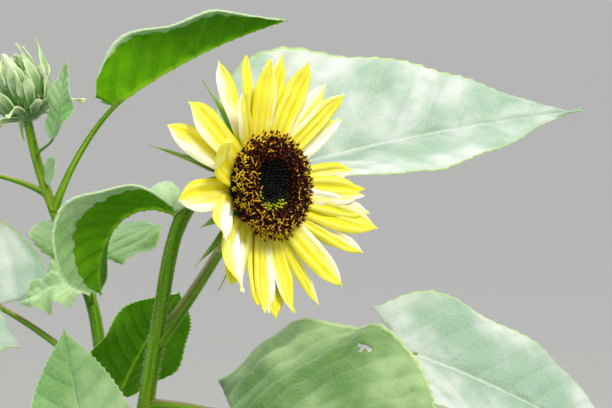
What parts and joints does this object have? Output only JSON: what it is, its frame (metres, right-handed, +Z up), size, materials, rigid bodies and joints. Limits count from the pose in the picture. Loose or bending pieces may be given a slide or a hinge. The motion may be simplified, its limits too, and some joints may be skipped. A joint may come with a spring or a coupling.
{
  "type": "sunflower plant",
  "caption": "Rooted garden sunflower: tall leafy stem with a nodding pale yellow bloom, a large leaf behind it, and a side branch that ends in a bud.",
  "frame": {"origin": "centre of the main stem's flat cut at ground level", "axes": "+Z up along the plant's height; the bloom looks towards +X and -Y, and the picture was taken looking along +Y"},
  "size_m": [0.6275, 0.5931, 1.2337],
  "materials": {
    "stem": "fresh green stem, softly ribbed, with short pale hairs",
    "leaves": "matt leaf, grey-green above and bright yellow-green below",
    "bracts": "matt green bract with fine hairs",
    "rays": "satin lemon yellow petal, near white at the edges",
    "disc": "matt dark maroon florets with orange pollen tips"
  },
  "bodies": {
    "root": {"stem": "stem", "side_branch": "stem", "flower_disc": "disc", "flower_rays": "rays", "flower_receptacle": "bracts", "bud": "bracts", "leaf_neck": "leaves", "leaf_behind_bloom": "leaves", "leaf_front_right": "leaves", "leaf_front_left": "leaves", "leaf_right": "leaves", "branch_leaf_high": "leaves", "branch_leaf_bud": "leaves", "branch_leaf_small": "leaves", "branch_leaf_outer": "leaves", "branch_leaf_low": "leaves", "branch_leaf_inner": "leaves", "branch_leaf_curled": "leaves", "branch_leaf_back": "leaves", "stem_leaf_01": "leaves", "stem_leaf_02": "leaves", "stem_leaf_03": "leaves", "stem_leaf_04": "leaves", "stem_leaf_05": "leaves", "stem_leaf_06": "leaves", "stem_leaf_07": "leaves", "stem_leaf_08": "leaves", "stem_leaf_09": "leaves", "stem_leaf_10": "leaves", "stem_leaf_11": "leaves", "stem_leaf_12": "leaves", "stem_leaf_13": "leaves", "stem_leaf_14": "leaves"}
  },
  "joints": []
}
